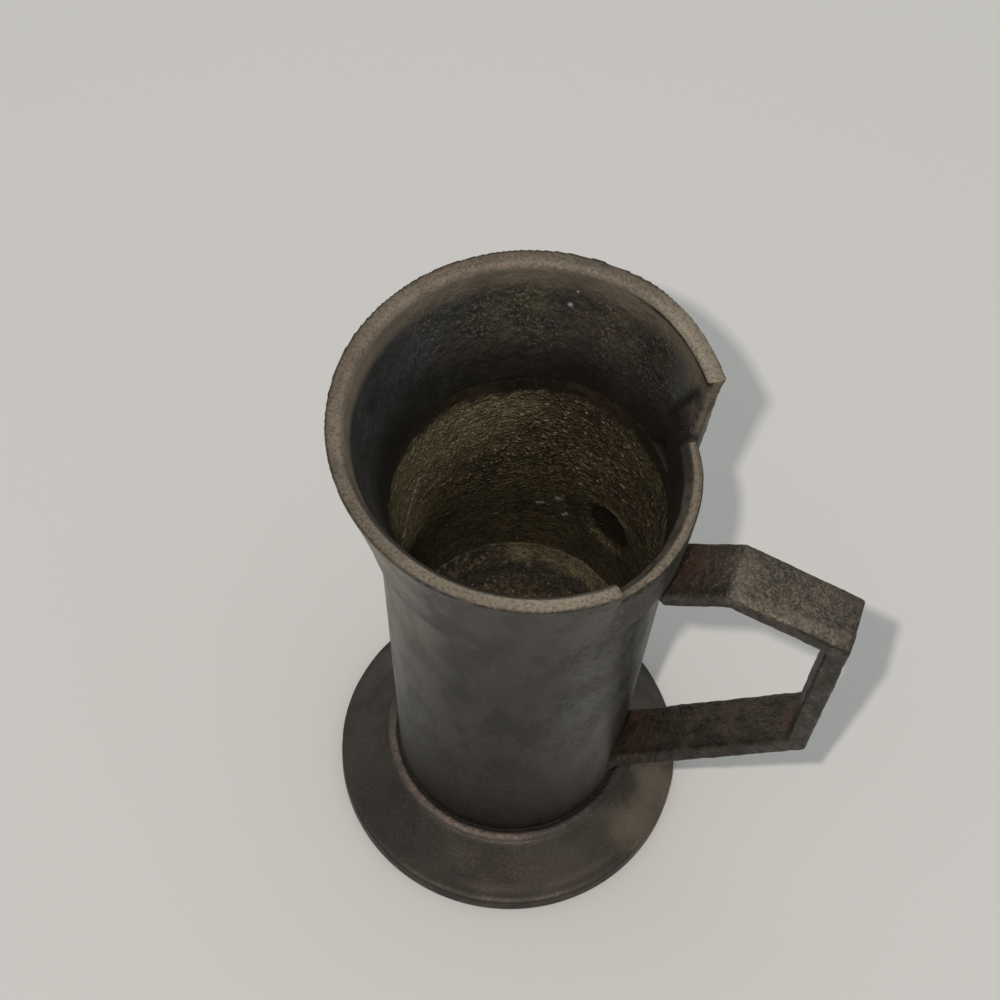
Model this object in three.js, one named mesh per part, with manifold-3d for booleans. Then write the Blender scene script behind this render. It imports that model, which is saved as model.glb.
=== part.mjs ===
// Brass measuring cup: a tapered tube with a raised floor, a flared pouring collar that is left low beside
// the handle, a hollow conical foot and an angular strap handle, all soldered together.
// Millimetres, +Z up. The cup's axis is vertical and the handle points along +X.

import * as THREE from 'three';
import { ConvexGeometry } from 'three/addons/geometries/ConvexGeometry.js';
import { mergeVertices } from 'three/addons/utils/BufferGeometryUtils.js';
import Module from 'manifold-3d';

const wasm = await Module();
wasm.setup();

// Shared values
const FIT_GAP = 0.3; // clearance between two soldered pieces
const TURN_STEPS = 64; // facets round the cup's axis
const CURVE_STEPS = 6; // points along each curved stretch of a profile

// Whole cup
const CUP_HEIGHT = 104;

// Body tube
const TUBE_FOOT_RADIUS = 17.15; // outer radius where the tube leaves the foot
const TUBE_TOP_RADIUS = 20.05; // outer radius at its upper end, inside the collar
const TUBE_WALL = 1.5;
const TUBE_INSERT = 4.2; // length of tube hidden inside the foot
const COLLAR_OVERLAP = 3.6; // length of tube hidden inside the collar

// Flared pouring collar
const COLLAR_HEIGHT = 22.4; // from its lower lip to the rim
const LIP_RADIUS = 21.3; // outer radius of the lower lip
const THROAT_LEDGE = 1.1; // how much of the tube's upper end stays in sight inside the collar
const RIM_RADIUS = 26;
const RIM_WIDTH = 1.7; // flat, worn top of the rim
const RIM_BEVEL = 1.6; // height of the bevel inside the rim
const RIM_BEVEL_INSET = 0.7;
const FLARE_LIP_PULL = [0.8, 6]; // out and up from the lip, steers the outer curve
const FLARE_RIM_PULL = [1.7, 6.6]; // in and down from the rim, steers the outer curve
const HOLLOW_RIM_PULL = [1.2, 6]; // in and down from the bevel, steers the inner curve
const HOLLOW_THROAT_PULL = [1, 5]; // out and up from the throat, steers the inner curve

// Low stretch of the collar beside the handle, angles in degrees from the handle
const LOW_START = -47;
const LOW_END = 35;
const LOW_DROP = 10.9; // below the rim
const LOW_RADIUS = 22.2; // outer radius of its upper edge
const LOW_EDGE_WIDTH = 1.25;
const LOW_BEVEL = 1.6;

// Each end of the flare leans away from the handle and is closed by a three-cornered web
const END_LEAN = 11; // degrees
const END_OVERLAP = 0.4; // how far the low wall runs on into the web
const WEB_LEAD = 4.5; // degrees by which the web's edge runs towards the handle on the way down
const WEB_LAG = 12; // degrees by which its foot lies back inside the flare
const WEB_DROP = 14.3; // depth of that foot below the rim

// Foot
const FOOT_RADIUS = 26.5;
const FOOT_HEIGHT = 10.2;
const FOOT_EDGE_HEIGHT = 2.6; // upright outer edge
const FOOT_EDGE_ROUND = 0.7;
const FOOT_NECK_RADIUS = 19;
const FOOT_WALL = 2.1;
const FOOT_RIM_WIDTH = 2.6; // flat ring that the cup stands on

// Floor
const FLOOR_HEIGHT = 37; // upper face above the table
const FLOOR_THICKNESS = 2;

// Solder fillets
const FOOT_BEAD = 1.5;
const FLOOR_FILLET = 3.2;
const HANDLE_FILLET = 1;
const HANDLE_FILLET_SPREAD = 1.5; // how far it spreads beside the strap at the cup's wall
const FILLET_EDGE = 0.35; // thickness that a fillet thins out to

// Strap handle: corners of its middle line, from the cup's axis and from the table or the collar's lip
const STRAP_WIDTH = 8.4;
const STRAP_THICKNESS = 3;
const STRAP_EDGE_ROUND = 0.4;
const UPPER_ROOT_DROP = 5.3; // below the lip
const UPPER_BEND_REACH = 29;
const UPPER_BEND_RISE = 0.2; // above the lip
const OUTER_CORNER_REACH = 44.2;
const OUTER_CORNER_DROP = 4.1; // below the lip
const LOWER_CORNER_REACH = 42.9;
const LOWER_CORNER_HEIGHT = 45.9; // above the table
const LOWER_ROOT_HEIGHT = 19.5; // above the table

// Places worked out from the sizes above
const lipHeight = CUP_HEIGHT - COLLAR_HEIGHT;
const tubeTop = lipHeight + COLLAR_OVERLAP;
const throatHeight = tubeTop + FIT_GAP;
const lowTop = CUP_HEIGHT - LOW_DROP;
const lowInner = LOW_RADIUS - LOW_EDGE_WIDTH;
const rimInner = RIM_RADIUS - RIM_WIDTH;
const tubeBottom = FOOT_HEIGHT - TUBE_INSERT;
const tubeTaper = (TUBE_TOP_RADIUS - TUBE_FOOT_RADIUS) / (tubeTop - FOOT_HEIGHT);
const tubeOuter = (z) => TUBE_FOOT_RADIUS + tubeTaper * (z - FOOT_HEIGHT);
const tubeInner = (z) => tubeOuter(z) - TUBE_WALL;
const socketRadius = TUBE_TOP_RADIUS + FIT_GAP;
const throatRadius = tubeInner(tubeTop) + THROAT_LEDGE;

// Materials, with the colours of old tarnished brass
const tarnish = (color, roughness) => new THREE.MeshStandardMaterial({ color, roughness, metalness: 1 });

// Turned solids

function turned(outline) {
  const points = outline.getPoints(CURVE_STEPS);
  const geometry = new THREE.LatheGeometry(points, TURN_STEPS);
  return geometry.rotateX(Math.PI / 2);
}

function closedOutline(start, draw) {
  const outline = new THREE.Path();
  outline.moveTo(...start);
  draw(outline);
  outline.lineTo(...start);
  return outline;
}

// Joining and cutting

function solidOf(geometry) {
  const bare = geometry.clone();
  bare.deleteAttribute('normal');
  bare.deleteAttribute('uv');
  const merged = mergeVertices(bare, 1e-4);
  const vertProperties = new Float32Array(merged.attributes.position.array);
  const triVerts = new Uint32Array(merged.index.array);
  return new wasm.Manifold(new wasm.Mesh({ numProp: 3, vertProperties, triVerts }));
}

function geometryOf(solid) {
  const { vertProperties, triVerts } = solid.getMesh();
  const geometry = new THREE.BufferGeometry();
  geometry.setAttribute('position', new THREE.BufferAttribute(new Float32Array(vertProperties), 3));
  geometry.setIndex(new THREE.BufferAttribute(new Uint32Array(triVerts), 1));
  geometry.computeVertexNormals();
  return geometry;
}

// A point at a radius, an angle from the handle in degrees, and a height
function aroundAxis(radius, angle, height) {
  const turn = THREE.MathUtils.degToRad(angle);
  return new THREE.Vector3(radius * Math.cos(turn), radius * Math.sin(turn), height);
}

// Everything near the collar on the positive side of a plane, from a depth on
function sideOf(plane, depth) {
  const reach = 4 * RIM_RADIUS;
  const geometry = new THREE.BoxGeometry(reach, reach, reach);
  geometry.translate(0, 0, depth + reach / 2);
  const turn = new THREE.Quaternion().setFromUnitVectors(new THREE.Vector3(0, 0, 1), plane.normal);
  geometry.applyQuaternion(turn);
  const foot = plane.projectPoint(new THREE.Vector3(0, 0, CUP_HEIGHT), new THREE.Vector3());
  return solidOf(geometry.translate(foot.x, foot.y, foot.z));
}

// Plain tapered tube
function bodyTube() {
  const outline = closedOutline([tubeInner(tubeBottom), tubeBottom], (path) => {
    path.lineTo(tubeOuter(tubeBottom), tubeBottom);
    path.lineTo(TUBE_TOP_RADIUS, tubeTop);
    path.lineTo(tubeInner(tubeTop), tubeTop);
    path.lineTo(tubeInner(FLOOR_HEIGHT), FLOOR_HEIGHT);
  });
  return turned(outline);
}

// Outer side of the flare, drawn from the lip to the rim
function drawFlare(path) {
  path.bezierCurveTo(
    LIP_RADIUS + FLARE_LIP_PULL[0], lipHeight + FLARE_LIP_PULL[1],
    RIM_RADIUS - FLARE_RIM_PULL[0], CUP_HEIGHT - FLARE_RIM_PULL[1],
    RIM_RADIUS, CUP_HEIGHT,
  );
}

// Flared ring that slips over the tube's end, before the stretch beside the handle is taken out
function flaredRing() {
  const bevelRadius = rimInner - RIM_BEVEL_INSET;
  const bevelFoot = CUP_HEIGHT - RIM_BEVEL;
  const outline = closedOutline([socketRadius, lipHeight], (path) => {
    path.lineTo(LIP_RADIUS, lipHeight);
    drawFlare(path);
    path.lineTo(rimInner, CUP_HEIGHT);
    path.lineTo(bevelRadius, bevelFoot);
    path.bezierCurveTo(
      bevelRadius - HOLLOW_RIM_PULL[0], bevelFoot - HOLLOW_RIM_PULL[1],
      throatRadius + HOLLOW_THROAT_PULL[0], throatHeight + HOLLOW_THROAT_PULL[1],
      throatRadius, throatHeight,
    );
    path.lineTo(socketRadius, throatHeight);
  });
  return solidOf(turned(outline));
}

// Nearly upright wall that takes the flare's place beside the handle
function lowRing() {
  const outline = closedOutline([socketRadius, lipHeight], (path) => {
    path.lineTo(LIP_RADIUS, lipHeight);
    path.lineTo(LOW_RADIUS, lowTop);
    path.lineTo(lowInner, lowTop);
    path.lineTo(throatRadius, lowTop - LOW_BEVEL);
    path.lineTo(throatRadius, throatHeight);
    path.lineTo(socketRadius, throatHeight);
  });
  return solidOf(turned(outline));
}

// The room inside the socket and the throat, up to the rim
function collarBore() {
  const outline = new THREE.Path();
  outline.moveTo(0, lipHeight);
  outline.lineTo(socketRadius, lipHeight);
  outline.lineTo(socketRadius, throatHeight);
  outline.lineTo(throatRadius, throatHeight);
  outline.lineTo(throatRadius, CUP_HEIGHT);
  outline.lineTo(0, CUP_HEIGHT);
  return solidOf(turned(outline));
}

// Everything inside the outer side of the flare
function flareCore() {
  const outline = new THREE.Path();
  outline.moveTo(0, lipHeight);
  outline.lineTo(LIP_RADIUS, lipHeight);
  drawFlare(outline);
  outline.lineTo(0, CUP_HEIGHT);
  return solidOf(turned(outline));
}

// Plane across the collar that faces the handle and leans away from it on the way down.
// The side is 1 or -1, the way in which the flare goes on.
function crossPlane(angle, side, leanAngle) {
  const turn = THREE.MathUtils.degToRad(angle);
  const lean = THREE.MathUtils.degToRad(leanAngle);
  const towardsHandle = new THREE.Vector3(side * Math.sin(turn), -side * Math.cos(turn), 0);
  const normal = towardsHandle.multiplyScalar(Math.cos(lean)).setZ(-Math.sin(lean));
  return new THREE.Plane().setFromNormalAndCoplanarPoint(normal, aroundAxis(RIM_RADIUS, angle, CUP_HEIGHT));
}

// Web that closes one end. Its inner face has corners on the rim, on the low edge and back inside the flare.
function endWeb(angle, side) {
  const edgeAngle = angle - side * WEB_LEAD;
  const footAngle = angle + side * WEB_LAG;
  const footHeight = CUP_HEIGHT - WEB_DROP;
  const corners = [
    aroundAxis(rimInner, angle, CUP_HEIGHT),
    aroundAxis(RIM_RADIUS, angle, CUP_HEIGHT),
    aroundAxis(lowInner, edgeAngle, lowTop),
    aroundAxis(LOW_RADIUS, edgeAngle, lowTop),
    aroundAxis(lowInner, footAngle, footHeight),
    aroundAxis(RIM_RADIUS, footAngle, footHeight),
    aroundAxis(throatRadius, edgeAngle, lipHeight),
    aroundAxis(LIP_RADIUS, edgeAngle, lipHeight),
    aroundAxis(LIP_RADIUS, footAngle, lipHeight),
  ];
  return solidOf(new ConvexGeometry(corners)).intersect(flareCore()).subtract(collarBore());
}

function mouthCollar() {
  const flareStart = sideOf(crossPlane(LOW_START, -1, END_LEAN), 0);
  const flareEnd = sideOf(crossPlane(LOW_END, 1, END_LEAN), 0);
  const lowStart = sideOf(crossPlane(LOW_START + WEB_LEAD, -1, 0), -END_OVERLAP);
  const lowEnd = sideOf(crossPlane(LOW_END - WEB_LEAD, 1, 0), -END_OVERLAP);
  const flare = flaredRing().subtract(flareStart.intersect(flareEnd));
  const low = lowRing().intersect(lowStart).intersect(lowEnd);
  const webs = endWeb(LOW_START, -1).add(endWeb(LOW_END, 1));
  return geometryOf(flare.add(low).add(webs));
}

// Hollow conical foot, open below, with a neck that the tube stands in
function footSkirt() {
  const bore = tubeOuter(FOOT_HEIGHT) + FIT_GAP;
  const neckTop = FOOT_HEIGHT - FIT_GAP;
  const shoulder = FOOT_EDGE_HEIGHT + FOOT_EDGE_ROUND;
  const innerRadius = FOOT_RADIUS - FOOT_RIM_WIDTH;
  const slope = (neckTop - shoulder) / (FOOT_RADIUS - FOOT_EDGE_ROUND - FOOT_NECK_RADIUS);
  const drop = FOOT_WALL * Math.hypot(1, slope);
  const innerTop = neckTop - drop + slope * (FOOT_NECK_RADIUS - bore);
  const innerFoot = innerTop - slope * (innerRadius - bore);
  const outline = closedOutline([innerRadius, 0], (path) => {
    path.lineTo(FOOT_RADIUS, 0);
    path.lineTo(FOOT_RADIUS, FOOT_EDGE_HEIGHT);
    path.quadraticCurveTo(FOOT_RADIUS, shoulder, FOOT_RADIUS - FOOT_EDGE_ROUND, shoulder);
    path.lineTo(FOOT_NECK_RADIUS, neckTop);
    path.lineTo(bore, neckTop);
    path.lineTo(bore, innerTop);
    path.lineTo(innerRadius, Math.max(innerFoot, FIT_GAP));
  });
  return turned(outline);
}

// Round bead of solder between the tube and the top of the foot
function footBead() {
  const inner = tubeOuter(FOOT_HEIGHT + FOOT_BEAD) + FIT_GAP;
  const outer = inner + FOOT_BEAD;
  const outline = closedOutline([inner, FOOT_HEIGHT], (path) => {
    path.lineTo(outer, FOOT_HEIGHT);
    path.quadraticCurveTo(outer, FOOT_HEIGHT + FOOT_BEAD, inner + FILLET_EDGE, FOOT_HEIGHT + FOOT_BEAD);
    path.lineTo(inner, FOOT_HEIGHT + FOOT_BEAD);
  });
  return turned(outline);
}

// Loose-fitting disc across the tube
function floorDisc() {
  const radius = tubeInner(FLOOR_HEIGHT - FLOOR_THICKNESS) - FIT_GAP;
  const outline = new THREE.Path();
  outline.moveTo(0, FLOOR_HEIGHT - FLOOR_THICKNESS);
  outline.lineTo(radius, FLOOR_HEIGHT - FLOOR_THICKNESS);
  outline.lineTo(radius, FLOOR_HEIGHT);
  outline.lineTo(0, FLOOR_HEIGHT);
  return turned(outline);
}

// Hollow fillet of solder in the corner between the floor and the tube
function floorFillet() {
  const bottom = FLOOR_HEIGHT + FIT_GAP;
  const top = bottom + FLOOR_FILLET;
  const outer = tubeInner(FLOOR_HEIGHT) - FIT_GAP;
  const inner = outer - FLOOR_FILLET;
  const outline = closedOutline([inner, bottom], (path) => {
    path.lineTo(outer, bottom);
    path.lineTo(outer, top);
    path.lineTo(outer - FILLET_EDGE, top);
    path.quadraticCurveTo(outer - FILLET_EDGE, bottom + FILLET_EDGE, inner, bottom + FILLET_EDGE);
  });
  return turned(outline);
}

// Middle line of the handle, from the upper root to the lower root, as reach and height
const upperRoot = new THREE.Vector2(tubeOuter(lipHeight), lipHeight - UPPER_ROOT_DROP);
const lowerRoot = new THREE.Vector2(tubeOuter(LOWER_ROOT_HEIGHT), LOWER_ROOT_HEIGHT);
const upperBend = new THREE.Vector2(UPPER_BEND_REACH, lipHeight + UPPER_BEND_RISE);
const outerCorner = new THREE.Vector2(OUTER_CORNER_REACH, lipHeight - OUTER_CORNER_DROP);
const lowerCorner = new THREE.Vector2(LOWER_CORNER_REACH, LOWER_CORNER_HEIGHT);

// The point beyond a root, inside the cup's wall, that the strap is drawn to before it is cut
function buried(root, next) {
  const inward = root.clone().sub(next).normalize();
  return root.clone().addScaledVector(inward, STRAP_THICKNESS);
}

// Corner of a line that runs beside the middle line at a distance to its left
function mitre(before, corner, after, distance) {
  const arrive = corner.clone().sub(before).normalize();
  const leave = after.clone().sub(corner).normalize();
  const left = new THREE.Vector2(-arrive.y - leave.y, arrive.x + leave.x).normalize();
  const reach = distance / left.dot(new THREE.Vector2(-arrive.y, arrive.x));
  return corner.clone().addScaledVector(left, reach);
}

// Bent bar along the middle line. Margin grows it on every side, to cut room for it in a fillet.
function strap(margin) {
  const first = buried(upperRoot, upperBend);
  const last = buried(lowerRoot, lowerCorner);
  const line = [first, upperBend, outerCorner, lowerCorner, last];
  const half = STRAP_THICKNESS / 2 + margin;
  const beside = (distance) => line.map((corner, i) => {
    const before = line[i - 1] ?? corner.clone().multiplyScalar(2).sub(line[i + 1]);
    const after = line[i + 1] ?? corner.clone().multiplyScalar(2).sub(line[i - 1]);
    return mitre(before, corner, after, distance);
  });
  const round = STRAP_EDGE_ROUND;
  const section = new THREE.Shape([...beside(round - half), ...beside(half - round).reverse()]);
  const depth = STRAP_WIDTH + 2 * margin - 2 * round;
  const geometry = new THREE.ExtrudeGeometry(section, {
    depth,
    bevelSize: round,
    bevelThickness: round,
    bevelSegments: 2,
  });
  geometry.translate(0, 0, -depth / 2);
  return solidOf(geometry.rotateX(Math.PI / 2));
}

// Outer side of the cup's wall beside the handle, grown by a distance
function wallBesideHandle(distance) {
  const outline = new THREE.Path();
  outline.moveTo(0, 0);
  outline.lineTo(tubeOuter(0) + distance, 0);
  outline.lineTo(tubeOuter(lipHeight) + distance, lipHeight);
  outline.lineTo(0, lipHeight);
  return solidOf(turned(outline));
}

function handleStrap() {
  return geometryOf(strap(0).subtract(wallBesideHandle(FIT_GAP)));
}

// Collar of solder round one root of the handle, as thick as it is wide and thinning out along the strap
function rootFillet(root, next) {
  const along = next.clone().sub(root).normalize();
  const across = new THREE.Vector2(-along.y, along.x);
  const corners = [];
  const addRing = (distance, leg) => {
    const halfWidth = STRAP_WIDTH / 2 + FIT_GAP + leg;
    const halfThickness = STRAP_THICKNESS / 2 + FIT_GAP + leg;
    for (const y of [-halfWidth, halfWidth]) {
      for (const offset of [-halfThickness, halfThickness]) {
        const place = root.clone().addScaledVector(along, distance).addScaledVector(across, offset);
        corners.push(new THREE.Vector3(place.x, y, place.y));
      }
    }
  };
  addRing(-STRAP_THICKNESS, HANDLE_FILLET_SPREAD);
  addRing(STRAP_THICKNESS, FILLET_EDGE);
  const lump = solidOf(new ConvexGeometry(corners)).intersect(wallBesideHandle(FIT_GAP + HANDLE_FILLET));
  return geometryOf(lump.subtract(wallBesideHandle(FIT_GAP)).subtract(strap(FIT_GAP)));
}

// The cup, standing on z = 0 with the middle of its whole outline over the origin
const cup = new THREE.Group();
const handleReach = mitre(upperBend, outerCorner, lowerCorner, STRAP_THICKNESS / 2).x;
cup.position.x = (Math.max(FOOT_RADIUS, RIM_RADIUS) - handleReach) / 2;

function addPiece(name, geometry, material) {
  const piece = new THREE.Mesh(geometry, material);
  piece.name = name;
  cup.add(piece);
}

addPiece('body_tube', bodyTube(), tarnish(0x3c3933, 0.5));
addPiece('mouth_collar', mouthCollar(), tarnish(0x4a4640, 0.45));
addPiece('foot_skirt', footSkirt(), tarnish(0x36322c, 0.5));
addPiece('floor_disc', floorDisc(), tarnish(0x2e2719, 0.7));
addPiece('handle_strap', handleStrap(), tarnish(0x453d34, 0.55));
addPiece('foot_solder', footBead(), tarnish(0x5a4a44, 0.5));
addPiece('floor_solder', floorFillet(), tarnish(0x47402b, 0.55));
addPiece('upper_handle_solder', rootFillet(upperRoot, upperBend), tarnish(0x4a3830, 0.6));
addPiece('lower_handle_solder', rootFillet(lowerRoot, lowerCorner), tarnish(0x3e2f29, 0.6));

const measuringCup = new THREE.Group();
measuringCup.add(cup);

export default measuringCup;
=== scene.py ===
import math

import bpy
from bpy.props import FloatProperty, FloatVectorProperty, PointerProperty
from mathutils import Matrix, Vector
from mathutils.geometry import interpolate_bezier


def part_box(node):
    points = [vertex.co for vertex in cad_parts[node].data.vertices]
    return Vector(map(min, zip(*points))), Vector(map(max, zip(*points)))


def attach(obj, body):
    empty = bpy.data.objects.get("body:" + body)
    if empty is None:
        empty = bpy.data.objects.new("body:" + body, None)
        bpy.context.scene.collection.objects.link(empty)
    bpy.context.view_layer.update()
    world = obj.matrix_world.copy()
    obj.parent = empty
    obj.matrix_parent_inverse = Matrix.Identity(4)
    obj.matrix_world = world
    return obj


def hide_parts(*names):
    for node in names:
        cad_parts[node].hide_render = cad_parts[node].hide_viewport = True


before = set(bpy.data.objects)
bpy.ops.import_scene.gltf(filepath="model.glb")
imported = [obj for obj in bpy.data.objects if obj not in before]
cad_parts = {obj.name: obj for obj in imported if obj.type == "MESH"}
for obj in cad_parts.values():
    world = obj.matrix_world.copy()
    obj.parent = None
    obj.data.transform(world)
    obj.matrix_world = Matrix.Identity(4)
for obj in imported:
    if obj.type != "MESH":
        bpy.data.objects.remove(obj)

bl_info = {
    "name": "Tarnished measuring cup",
    "version": (1, 0, 0),
    "blender": (4, 5, 0),
    "location": "View3D > Sidebar > Measuring cup",
    "description": "Models a worn, soldered measuring cup round its solids and sets the stage for it",
    "category": "Object",
}

MM = 0.001
FULL_TURN = 2 * math.pi
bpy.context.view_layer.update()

TUBE_LOW, TUBE_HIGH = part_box("body_tube")
COLLAR_LOW, COLLAR_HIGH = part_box("mouth_collar")
FOOT_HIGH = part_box("foot_skirt")[1]
FLOOR_LOW, FLOOR_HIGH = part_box("floor_disc")
STRAP_LOW, STRAP_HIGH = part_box("handle_strap")
AXIS_X = (TUBE_LOW[0] + TUBE_HIGH[0]) / 2

# Film of solder between the pieces, as in the solids
CLEARANCE = 0.3 * MM
# Points closer than this become one.
MERGE = 0.002 * MM
# Faces that meet at less than this look like one round surface.
SMOOTH_ANGLE = math.radians(50)

# Lean of the flare's ends beside the handle
END_LEAN = math.radians(11)
# Reach of the web at each end: towards the handle, back along the rim, back under the flare, and down
WEB_LEAD = math.radians(4.5)
WEB_BACK = math.radians(3)
WEB_LAG = math.radians(12)
WEB_DROP = 14.3 * MM
# The low wall runs this far into both webs, as an angle.
WEB_OVERLAP = 0.02
# How far the flare's far end is bent in, and how much of the flare bends with it, in millimetres
TIP_BEND = 0.95
TIP_REACH = 18

# Round pit in the wall inside, beyond the handle. All but its angle is in millimetres.
PIT_TURN = math.radians(62)
PIT_RADIUS = 17.3
PIT_HEIGHT = 54.3
PIT_DEPTH = 1.3
PIT_REACH = 4.8

# Middle line of the strap from the upper root on: distance from the cup's axis and height, in millimetres
HANDLE_LINE = [Vector((AXIS_X + reach * MM, 0, height * MM)) for reach, height in (
    (19.8, 76.25), (29, 81.9), (44.3, 77.6), (42.9, 45.9), (16.8, 18.75))]

# Marks on upright faces are drawn out along the height.
UPRIGHT = (1, 1, 0.45)
# The grain of cast metal is about 0.1 mm, too fine to show, so it is drawn this coarse, in millimetres.
SKIN_GRAIN = 0.45
# Levels of ever finer lumps in a cloudy pattern
CLOUD_DETAIL = 4
# How far the edge of a ragged mark wanders, and the size of its bays, in millimetres
DRIFT = 5
DRIFT_LUMP = 3
# Share of a mark's reach that it covers fully
MARK_CORE = 0.2
# Between this facing and its opposite, a wall turns from outside to inside.
EDGE_ON = 0.15
# Sockets of a mix node for colours, where names would find those for numbers
MIX_SHARE, MIX_UNDER, MIX_OVER, MIX_RESULT = 0, 6, 7, 2


def linear(code):
    """An sRGB hex colour as linear RGBA."""
    channels = [int(code[i:i + 2], 16) / 255 for i in (1, 3, 5)]
    return tuple(c / 12.92 if c <= 0.04045 else ((c + 0.055) / 1.055) ** 2.4 for c in channels) + (1.0,)


def length(name, description, default):
    return FloatProperty(name=name, description=description, default=default, unit="LENGTH", precision=5)


def angle(name, description, degrees):
    return FloatProperty(name=name, description=description, default=math.radians(degrees), unit="ROTATION")


def tint(name, description, code):
    return FloatVectorProperty(
        name=name, description=description, default=linear(code), size=4, min=0, max=1, subtype="COLOR")


def place(name, description, x, y, height):
    """A place on the stage, in millimetres from the foot of the cup's axis."""
    return FloatVectorProperty(
        name=name, description=description, default=(AXIS_X + x * MM, y * MM, height * MM),
        subtype="TRANSLATION", unit="LENGTH", precision=5)


class CupSizes(bpy.types.PropertyGroup):
    """Sizes of the cup's pieces. Whole outlines come from the solids."""

    tube_foot_radius: length("Tube foot radius", "Outer radius where the tube leaves the foot", 17.15 * MM)
    tube_top_radius: length("Tube top radius", "Outer radius inside the collar", TUBE_HIGH[0] - AXIS_X)
    tube_wall: length("Tube wall", "Thickness of the tube", 1.5 * MM)
    lip_radius: length("Lip radius", "Outer radius of the collar's lower lip", 21.3 * MM)
    throat_radius: length("Throat radius", "Inner radius of the collar above the tube", 19.65 * MM)
    rim_radius: length("Rim radius", "Outer radius of the rim", COLLAR_HIGH[1])
    rim_width: length("Rim width", "Flat, worn top of the rim", 1.7 * MM)
    low_height: length("Low edge height", "Height of the edge beside the handle", 93.1 * MM)
    low_radius: length("Low edge radius", "Outer radius of the edge beside the handle", 22.2 * MM)
    low_width: length("Low edge width", "Flat top of the edge beside the handle", 1.25 * MM)
    low_start: angle("Low stretch start", "Where the flare stops on the near side of the handle", -47)
    low_end: angle("Low stretch end", "Where the flare stops on the far side of the handle", 35)
    foot_edge: length("Foot edge", "Height of the foot's upright edge", 2.6 * MM)
    foot_neck: length("Foot neck", "Radius of the foot's upper end", 19 * MM)
    foot_wall: length("Foot wall", "Thickness of the foot", 2.1 * MM)
    floor_fillet: length("Floor fillet", "Width of the solder round the floor", 3.2 * MM)
    strap_thickness: length("Strap thickness", "Thickness of the handle's bar", 3 * MM)


class CupFinish(bpy.types.PropertyGroup):
    """Colours of the cup's surfaces."""

    outside: tint("Outside", "Satin tarnish of the tube and collar", "#413f39")
    # Also laid on as painted shade on the lower front of the collar.
    stain: tint("Stain", "Darker clouds in the tarnish", "#2e2b27")
    # Also laid on as painted sheen up the left of the tube and the collar.
    cool: tint("Sheen", "Blue-grey rubbed tarnish", "#5c5e5a")
    worn: tint("Worn metal", "Metal laid bare on the rim and the low edge", "#7d7160")
    # Also laid on as painted sheen up the left of the tube and the collar.
    pale: tint("Pale wear", "Rubbed specks and mottling", "#938774")
    fleck: tint("Fleck", "Small bright chips inside the collar and the tube", "#d6d3ca")
    # Also laid on as painted light on the upper left of the tube's crust and as a painted highlight on the
    # floor fillet's far edge.
    crust: tint("Crust", "Olive crust inside the tube", "#6b6146")
    # Also laid on as painted glints high on the crust, as painted light on its upper left and as a painted
    # highlight on the pit's brim.
    grain: tint("Grain", "Grains that stand out of the crust", "#b8ab84")
    # Also laid on as painted shade in creases, corners, the pit, deep in the collar and under the lip, as a
    # dark painted reflection down the tube's front, and as painted shadow of the handle's lower arm.
    grime: tint("Grime", "Dirt in corners and pits", "#221f1a")
    rust: tint("Red-brown", "Red-brown oxide beside the solder", "#644d3f")
    # Also laid on as painted light on the foot's right, along the front of its shoulder and on the handle's
    # lower arm.
    warm: tint("Warm wear", "Warm rubbed tarnish on the foot and the handle", "#6d6052")
    bluish: tint("Bluish tarnish", "Smooth tarnish inside the collar", "#454647")
    foot: tint("Foot", "Grey-brown tarnish of the foot", "#423d36")
    handle: tint("Handle", "Tarnish of the handle", "#4d463c")
    # Laid on only at the front of the bead, as painted light.
    solder: tint("Solder", "Reddish solder round the foot", "#564a42")


class CupStage(bpy.types.PropertyGroup):
    """Table, light and camera."""

    table: tint("Table", "Colour of the table", "#c9c7c2")
    table_width: length("Table width", "Width of the square table", 4)
    sky: tint("Sky", "Colour of the light from all round", "#d0d4d7")
    lamp: tint("Lamp", "Colour of the lamp", "#fff4ee")
    lamp_strength: FloatProperty(name="Lamp strength", description="Power of the lamp", default=4.4, min=0)
    lamp_size: length("Lamp size", "Width of the lamp, for the softness of shadows", 7 * MM)
    lamp_place: place("Lamp place", "Where the lamp hangs", 17.5, -134, 350)
    lens: FloatProperty(
        name="Lens", description="Focal length on a 36 mm frame", default=90, min=1, unit="CAMERA")
    camera_place: place("Camera place", "Where the camera stands", 39.697, -152.618, 371.616)
    camera_turn: FloatVectorProperty(
        name="Camera turn", description="Turns of the camera about X, Y and Z",
        default=[math.radians(degrees) for degrees in (28.677, -1.72, 19.084)],
        subtype="EULER", unit="ROTATION")


# Modelling by hand in edit mode


def at(radius, height):
    """Point of an outline that is spun round the cup's axis, or a pull on one."""
    return Vector((radius, height))


def around_axis(radius, turn, height):
    """Point at a radius from the cup's axis, an angle from the handle and a height."""
    return Vector((AXIS_X + radius * math.cos(turn), radius * math.sin(turn), height))


def outward(turn):
    """Level direction away from the cup's axis, at an angle from the handle."""
    return Vector((math.cos(turn), math.sin(turn), 0))


def fine(points, spacing):
    """The same outline with points no further apart than spacing."""
    dense = [points[0]]
    for start, end in zip(points, points[1:]):
        steps = max(1, math.ceil((end - start).length / spacing))
        dense += [start.lerp(end, step / steps) for step in range(1, steps + 1)]
    return dense


def curve(start, pull_start, pull_end, end, count):
    """Points along a curve between two places that is steered by two pulls."""
    knots = [start, start + pull_start, end + pull_end, end]
    return [Vector(point[:2]) for point in interpolate_bezier(*[knot.to_3d() for knot in knots], count)]


def pick(*pieces):
    """Selects these pieces alone and makes the first one active."""
    bpy.ops.object.select_all(action="DESELECT")
    for piece in pieces:
        piece.select_set(True)
    bpy.context.view_layer.objects.active = pieces[0]


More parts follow.
